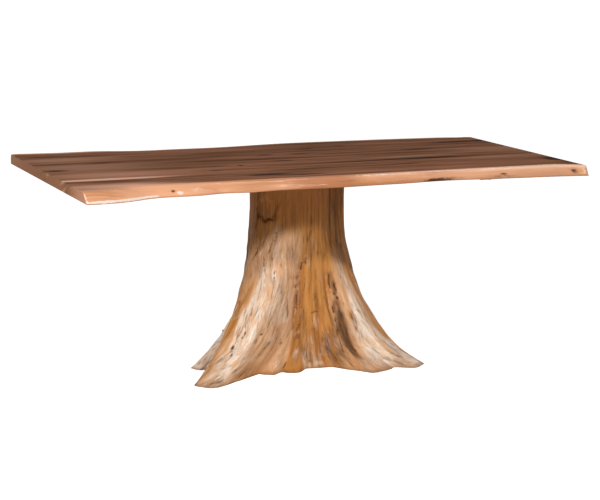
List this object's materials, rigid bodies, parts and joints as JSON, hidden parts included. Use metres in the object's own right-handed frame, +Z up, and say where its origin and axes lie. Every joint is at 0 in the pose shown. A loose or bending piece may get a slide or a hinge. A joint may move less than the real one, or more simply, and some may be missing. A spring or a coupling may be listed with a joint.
{
  "type": "dining table",
  "caption": "Rustic dining table with a live-edge plank top on a peeled tree stump with flared roots.",
  "frame": {"origin": "on the floor under the middle of the top's outline", "axes": "+X along the top's length, +Y from the front live edge to the back one, +Z up"},
  "size_m": [1.981, 1.2256, 0.762],
  "materials": {
    "top_wood": "satin walnut-brown stain and clear coat, live edges left honey-orange",
    "tenon_wood": "bare hardwood, glued in",
    "batten_wood": "stained to match the top",
    "stump_wood": "peeled and clear-coated natural stump, satin to gloss",
    "plate_steel": "black powder coat",
    "zinc_steel": "zinc-plated",
    "insert_brass": "plain brass"
  },
  "bodies": {
    "root": {"board_1_front_live_edge": "top_wood", "board_2": "top_wood", "board_3": "top_wood", "board_4": "top_wood", "board_5": "top_wood", "board_6_back_live_edge": "top_wood", "loose_tenons_joint_1": "tenon_wood", "loose_tenons_joint_2": "tenon_wood", "loose_tenons_joint_3": "tenon_wood", "loose_tenons_joint_4": "tenon_wood", "loose_tenons_joint_5": "tenon_wood", "batten_left": "batten_wood", "batten_right": "batten_wood", "batten_screws_left": "zinc_steel", "batten_screws_right": "zinc_steel", "stump_lag_screws": "zinc_steel", "top_bolts": "zinc_steel", "top_bolt_washers": "zinc_steel", "threaded_inserts": "insert_brass", "mounting_plate": "plate_steel", "stump": "stump_wood"}
  },
  "joints": []
}
